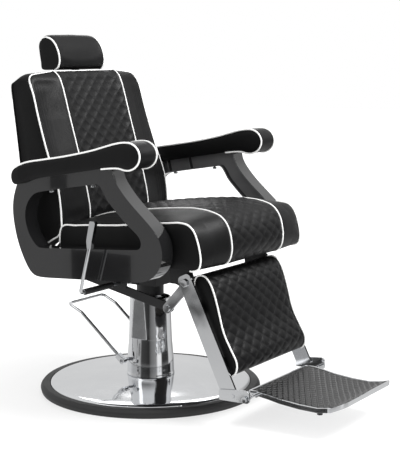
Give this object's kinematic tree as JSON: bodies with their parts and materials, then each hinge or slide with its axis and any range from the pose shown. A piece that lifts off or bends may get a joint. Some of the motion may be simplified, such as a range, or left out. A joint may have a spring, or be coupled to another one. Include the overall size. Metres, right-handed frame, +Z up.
{
  "type": "hydraulic barber chair",
  "caption": "Hydraulic barber chair: padded seat and reclining back on a pump column, gloss arm frames, piped cushions, headrest, and a leg rest with a flip-up footplate.",
  "frame": {"origin": "centre of the base's underside, on the floor and on the column axis", "axes": "+Z up, the sitter faces -Y, +X is the sitter's left"},
  "size_m": [0.6775, 0.989, 0.984],
  "materials": {
    "chrome": "mirror chrome plate",
    "steel": "ground and zinc plated",
    "black_steel": "satin black powder coat",
    "gloss_black": "high gloss black lacquer",
    "rubber": "matte moulded rubber",
    "leather": "smooth black leatherette with fine grain",
    "piping": "white leatherette piping",
    "plywood": "raw birch plywood"
  },
  "bodies": {
    "base": {"base_plate": "steel", "base_ring": "rubber", "base_dome": "chrome", "base_bolts": "steel", "pump_body": "black_steel", "gland_nut": "steel", "rod_seal": "rubber", "column_shroud": "chrome", "shroud_screws": "chrome", "plunger_spring": "steel"},
    "pedal": {"pedal_shaft": "steel", "pedal_loop": "chrome", "pedal_clamps": "chrome"},
    "plunger": {"pump_plunger": "steel"},
    "piston": {"piston_rod": "steel", "thrust_bearing": "steel"},
    "seat": {"swivel_hub": "black_steel", "seat_plate": "black_steel", "frame_bolts": "steel", "seat_frame": "black_steel", "seat_board": "plywood", "seat_cushion": "leather", "hinge_brackets": "black_steel", "legrest_hangers": "black_steel", "arm_brackets": "black_steel", "left_arm_frame": "gloss_black", "right_arm_frame": "gloss_black", "left_arm_pad": "leather", "right_arm_pad": "leather", "arm_pad_screws": "chrome", "lock_cylinder": "black_steel", "lock_clamps": "steel", "lever_bearings": "black_steel"},
    "lever": {"lever_shaft": "steel", "recline_lever": "chrome", "lever_sleeve": "rubber", "lever_grip": "chrome"},
    "release": {"release_pin": "steel"},
    "lock_rod": {"lock_rod": "chrome"},
    "link": {"recline_link": "black_steel"},
    "back": {"back_brackets": "black_steel", "back_axle": "steel", "back_pins": "steel", "back_board": "plywood", "back_cushion": "leather", "headrest_socket": "steel"},
    "headrest": {"headrest_post": "chrome", "headrest_cushion": "leather"},
    "legrest": {"legrest_bars": "chrome", "legrest_axle": "steel", "legrest_crank": "chrome", "legrest_straps": "black_steel", "legrest_pivot_bolts": "chrome", "calf_board": "plywood", "calf_pad": "leather", "foot_brackets": "chrome", "footplate_rod": "chrome"},
    "footplate": {"footplate": "chrome", "footplate_mat": "rubber", "footplate_feet": "rubber"}
  },
  "joints": [
    {"name": "seat_lift", "type": "slide", "parent": "base", "child": "piston", "axis": [0, 0, 1], "range_m": [0, 0.15]},
    {"name": "seat_swivel", "type": "hinge", "parent": "piston", "child": "seat", "pos_m": [0, 0, 0.3], "axis": [0, 0, 1], "continuous": true},
    {"name": "pump_pedal", "type": "hinge", "parent": "base", "child": "pedal", "pos_m": [0, 0.038, 0.088], "axis": [-1, 0, 0], "range_deg": [0, 34], "stiffness_Nm_per_rad": 6, "springref_deg": -20.05},
    {"name": "pump_stroke", "type": "slide", "parent": "base", "child": "plunger", "axis": [0, 0, -1], "range_m": [0, 0.00839], "deforming": ["plunger_spring"]},
    {"name": "back_recline", "type": "hinge", "parent": "seat", "child": "back", "pos_m": [0, 0.147, 0.44], "axis": [-1, 0, 0], "range_deg": [0, 45]},
    {"name": "legrest_lift", "type": "hinge", "parent": "seat", "child": "legrest", "pos_m": [0, -0.251, 0.358], "axis": [-1, 0, 0], "range_deg": [0, 45]},
    {"name": "link_turn", "type": "hinge", "parent": "back", "child": "link", "pos_m": [0, 0.21591, 0.36211], "axis": [-1, 0, 0], "range_deg": [-45, 0]},
    {"name": "lock_slide", "type": "slide", "parent": "seat", "child": "lock_rod", "axis": [0, -1, 0], "range_m": [0, 0.05372]},
    {"name": "footplate_flip", "type": "hinge", "parent": "legrest", "child": "footplate", "pos_m": [0, -0.436, 0.083], "axis": [-1, 0, 0], "range_deg": [0, 90]},
    {"name": "headrest_slide", "type": "slide", "parent": "back", "child": "headrest", "axis": [0, 0.1163, 0.9932], "range_m": [0, 0.1]},
    {"name": "lever_pull", "type": "hinge", "parent": "seat", "child": "lever", "pos_m": [0, -0.03, 0.332], "axis": [-1, 0, 0], "range_deg": [0, 12], "stiffness_Nm_per_rad": 6, "springref_deg": -17.19},
    {"name": "release_push", "type": "slide", "parent": "seat", "child": "release", "axis": [0, 1, 0], "range_m": [0, 0.01015]}
  ],
  "couplings": [
    {"joint": "pump_stroke", "follows": "pump_pedal", "m_per_rad": 0.0138},
    {"joint": "legrest_lift", "follows": "back_recline", "ratio": 1},
    {"joint": "link_turn", "follows": "back_recline", "ratio": -1},
    {"joint": "lock_slide", "follows": "back_recline", "m_per_rad": 0.06815},
    {"joint": "release_push", "follows": "lever_pull", "m_per_rad": 0.0475}
  ]
}
